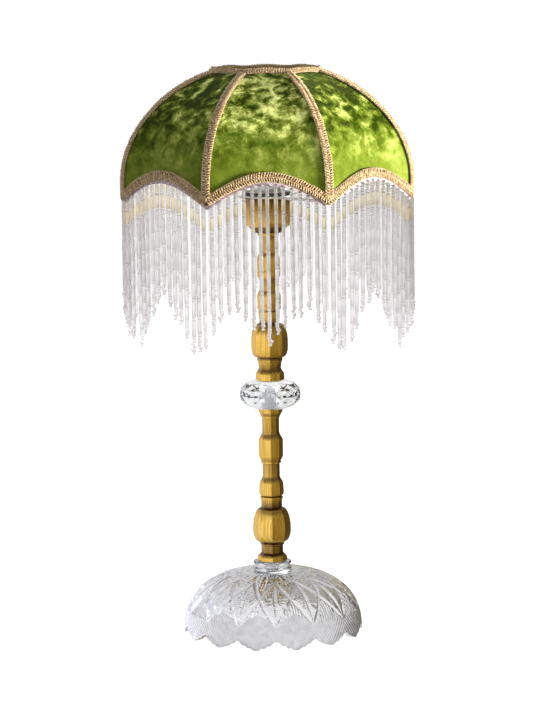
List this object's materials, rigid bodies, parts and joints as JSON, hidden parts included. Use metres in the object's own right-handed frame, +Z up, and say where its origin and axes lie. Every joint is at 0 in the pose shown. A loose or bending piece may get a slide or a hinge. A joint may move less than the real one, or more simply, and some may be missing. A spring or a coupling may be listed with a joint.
{
  "type": "table lamp",
  "caption": "Table lamp with a domed velvet shade trimmed with braid and bead fringe, an octagonal brass stem with a crystal, and a cut-glass bowl base.",
  "frame": {"origin": "on the table, under the middle of the base", "axes": "+Z up along the stem; the front is -Y, with +X to the right"},
  "size_m": [0.284, 0.284, 0.5637],
  "materials": {
    "clear_glass": "clear pressed and cut glass, frosted where the cuts are ground",
    "crystal": "polished faceted crystal",
    "antique_brass": "brushed antique brass, darker in the grooves and worn bright on the edges",
    "chrome": "bright chrome",
    "steel": "zinc-plated steel",
    "rubber": "translucent soft washer",
    "white_plastic": "moulded plastic",
    "black_plastic": "moulded thermoset plastic",
    "porcelain": "glazed porcelain",
    "contact_brass": "bare sheet brass",
    "cap_metal": "rolled aluminium cap",
    "bulb_glass": "clear thin glass",
    "filament": "yellow phosphor filaments on a glass stem",
    "white_wire": "white powder coat",
    "velvet": "crushed velvet with pale and dark patches",
    "lining": "plain ivory lining",
    "gimp": "antique gold looped gimp braid",
    "tape": "woven ribbon header",
    "bead_glass": "clear glass seed and bugle beads with champagne accents"
  },
  "bodies": {
    "lamp": {"glass_base": "clear_glass", "glass_collar": "clear_glass", "crystal_ball": "crystal", "base_gasket": "rubber", "collar_gasket": "rubber", "base_washer": "steel", "base_nut": "steel", "threaded_rod": "steel", "cord_bush": "white_plastic", "collar_sleeve": "chrome", "crystal_sleeve": "chrome", "holder_cap": "black_plastic", "holder_shell": "black_plastic", "holder_insulator": "porcelain", "screw_shell": "contact_brass", "centre_contact": "contact_brass", "terminal_screws": "contact_brass", "lower_baluster": "antique_brass", "middle_baluster": "antique_brass", "upper_baluster": "antique_brass", "top_baluster": "antique_brass", "socket_cup": "antique_brass"},
    "shade": {"fitter_ring": "white_wire", "spider_arms": "white_wire", "top_ring": "white_wire", "frame_ribs": "white_wire", "bottom_wire": "white_wire", "lining": "lining", "top_braid": "gimp", "bottom_braid": "gimp", "rib_braids": "gimp", "fringe_tape": "tape", "velvet_panel_1": "velvet", "velvet_panel_2": "velvet", "velvet_panel_3": "velvet", "velvet_panel_4": "velvet", "velvet_panel_5": "velvet", "velvet_panel_6": "velvet", "velvet_panel_7": "velvet", "velvet_panel_8": "velvet"},
    "shade_ring": {"shade_ring": "black_plastic"},
    "bulb_cap": {"bulb_cap": "cap_metal", "bulb_contact": "cap_metal"},
    "bulb": {"bulb_glass": "bulb_glass", "bulb_filament": "filament"},
    "fringe_row_1": {"fringe_1": "bead_glass"},
    "fringe_row_2": {"fringe_2": "bead_glass"},
    "fringe_row_3": {"fringe_3": "bead_glass"},
    "fringe_row_4": {"fringe_4": "bead_glass"},
    "fringe_row_5": {"fringe_5": "bead_glass"},
    "fringe_row_6": {"fringe_6": "bead_glass"},
    "fringe_row_7": {"fringe_7": "bead_glass"},
    "fringe_row_8": {"fringe_8": "bead_glass"}
  },
  "joints": [
    {"name": "shade_lift", "type": "slide", "parent": "lamp", "child": "shade", "axis": [0, 0, 1], "range_m": [0, 0.11]},
    {"name": "shade_ring_turn", "type": "hinge", "parent": "shade", "child": "shade_ring", "pos_m": [0, 0, 0.438], "axis": [0, 0, 1], "range_deg": [0, 720]},
    {"name": "bulb_travel", "type": "slide", "parent": "lamp", "child": "bulb_cap", "axis": [0, 0, 1], "range_m": [0, 0.0109]},
    {"name": "bulb_turn", "type": "hinge", "parent": "bulb_cap", "child": "bulb", "pos_m": [0, 0, 0.45], "axis": [0, 0, 1], "range_deg": [0, 1081]},
    {"name": "fringe_1_swing", "type": "hinge", "parent": "shade", "child": "fringe_row_1", "pos_m": [0, -0.13662, 0.432], "axis": [-1, 0, 0], "range_deg": [-3, 35]},
    {"name": "fringe_2_swing", "type": "hinge", "parent": "shade", "child": "fringe_row_2", "pos_m": [0.0966, -0.0966, 0.432], "axis": [-0.7071, -0.7071, 0], "range_deg": [-3, 35]},
    {"name": "fringe_3_swing", "type": "hinge", "parent": "shade", "child": "fringe_row_3", "pos_m": [0.13662, 0, 0.432], "axis": [0, -1, 0], "range_deg": [-3, 35]},
    {"name": "fringe_4_swing", "type": "hinge", "parent": "shade", "child": "fringe_row_4", "pos_m": [0.0966, 0.0966, 0.432], "axis": [0.7071, -0.7071, 0], "range_deg": [-3, 35]},
    {"name": "fringe_5_swing", "type": "hinge", "parent": "shade", "child": "fringe_row_5", "pos_m": [0, 0.13662, 0.432], "axis": [1, 0, 0], "range_deg": [-3, 35]},
    {"name": "fringe_6_swing", "type": "hinge", "parent": "shade", "child": "fringe_row_6", "pos_m": [-0.0966, 0.0966, 0.432], "axis": [0.7071, 0.7071, 0], "range_deg": [-3, 35]},
    {"name": "fringe_7_swing", "type": "hinge", "parent": "shade", "child": "fringe_row_7", "pos_m": [-0.13662, 0, 0.432], "axis": [0, 1, 0], "range_deg": [-3, 35]},
    {"name": "fringe_8_swing", "type": "hinge", "parent": "shade", "child": "fringe_row_8", "pos_m": [-0.0966, -0.0966, 0.432], "axis": [-0.7071, 0.7071, 0], "range_deg": [-3, 35]}
  ],
  "couplings": [
    {"joint": "bulb_turn", "follows": "bulb_travel", "rad_per_m": 1731.4}
  ]
}
